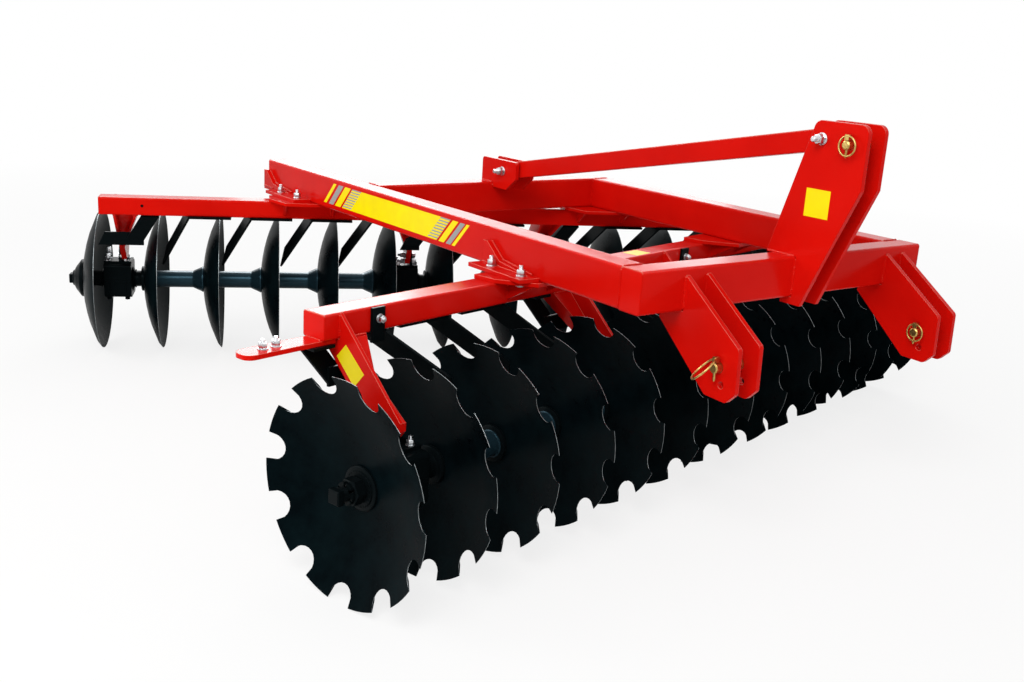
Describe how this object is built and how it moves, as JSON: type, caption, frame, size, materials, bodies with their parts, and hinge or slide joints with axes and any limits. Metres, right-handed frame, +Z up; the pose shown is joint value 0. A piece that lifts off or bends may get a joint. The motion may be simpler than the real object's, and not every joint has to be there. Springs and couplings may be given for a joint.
{
  "type": "disc harrow",
  "caption": "Tractor-mounted offset disc harrow: notched front gangs, plain rear gangs, box-section frame, three-point hitch; each gang turns on its axle.",
  "frame": {"origin": "on the ground under the middle of the machine", "axes": "+X to the machine's right, +Y forward towards the tractor, +Z up"},
  "size_m": [3.0207, 2.9587, 1.155],
  "materials": {
    "red_paint": "gloss enamel on welded steel",
    "disc_steel_paint": "gloss black paint on spring steel",
    "black_paint": "gloss black paint on cast iron and forgings",
    "zinc_plate": "zinc plated"
  },
  "bodies": {
    "frame": {"bearing_front_1": "black_paint", "bearing_front_2": "black_paint", "bearing_front_3": "black_paint", "bearing_front_4": "black_paint", "bearing_rear_1": "black_paint", "bearing_rear_2": "black_paint", "bearing_rear_3": "black_paint", "bearing_rear_4": "black_paint", "brace": "red_paint", "brace_bolt_front": "zinc_plate", "brace_bolt_rear": "zinc_plate", "brace_lugs": "red_paint", "clamp_front_left": "red_paint", "clamp_front_right": "red_paint", "clamp_rear_left": "red_paint", "clamp_rear_right": "red_paint", "front_crossbeam": "red_paint", "gang_beam_front": "red_paint", "gang_beam_rear": "red_paint", "leg_front_1": "red_paint", "leg_front_2": "red_paint", "leg_front_3": "red_paint", "leg_front_4": "red_paint", "leg_rear_1": "red_paint", "leg_rear_2": "red_paint", "leg_rear_3": "red_paint", "leg_rear_4": "red_paint", "lower_bracket_left": "red_paint", "lower_bracket_right": "red_paint", "lower_link_pin_left": "zinc_plate", "lower_link_pin_right": "zinc_plate", "mast_plate_left": "red_paint", "mast_plate_right": "red_paint", "rear_crossbeam": "red_paint", "saddle_front_left": "red_paint", "saddle_front_right": "red_paint", "saddle_rear_left": "red_paint", "saddle_rear_right": "red_paint", "scraper_arm_front": "red_paint", "scraper_arm_rear": "red_paint", "scrapers_front_left": "red_paint", "scrapers_front_right": "red_paint", "scrapers_rear_left": "red_paint", "scrapers_rear_right": "red_paint", "side_beam_left": "red_paint", "side_beam_right": "red_paint", "top_link_pin": "zinc_plate"},
    "gang_front_left": {"discs_front_left": "disc_steel_paint", "shaft_front_left": "black_paint", "spools_front_left": "black_paint"},
    "gang_front_right": {"discs_front_right": "disc_steel_paint", "shaft_front_right": "black_paint", "spools_front_right": "black_paint"},
    "gang_rear_left": {"discs_rear_left": "disc_steel_paint", "shaft_rear_left": "black_paint", "spools_rear_left": "black_paint"},
    "gang_rear_right": {"discs_rear_right": "disc_steel_paint", "shaft_rear_right": "black_paint", "spools_rear_right": "black_paint"}
  },
  "joints": [
    {"name": "gang_front_right_spin", "type": "hinge", "parent": "frame", "child": "gang_front_right", "pos_m": [0.78874, 1.00265, 0.28], "axis": [-0.9744, -0.225, 0], "continuous": true},
    {"name": "gang_front_left_spin", "type": "hinge", "parent": "frame", "child": "gang_front_left", "pos_m": [-0.70692, 0.65735, 0.28], "axis": [-0.9744, -0.225, 0], "continuous": true},
    {"name": "gang_rear_left_spin", "type": "hinge", "parent": "frame", "child": "gang_rear_left", "pos_m": [-0.83971, -0.31587, 0.28], "axis": [0.9135, -0.4067, 0], "continuous": true},
    {"name": "gang_rear_right_spin", "type": "hinge", "parent": "frame", "child": "gang_rear_right", "pos_m": [0.56258, -0.94021, 0.28], "axis": [0.9135, -0.4067, 0], "continuous": true}
  ]
}
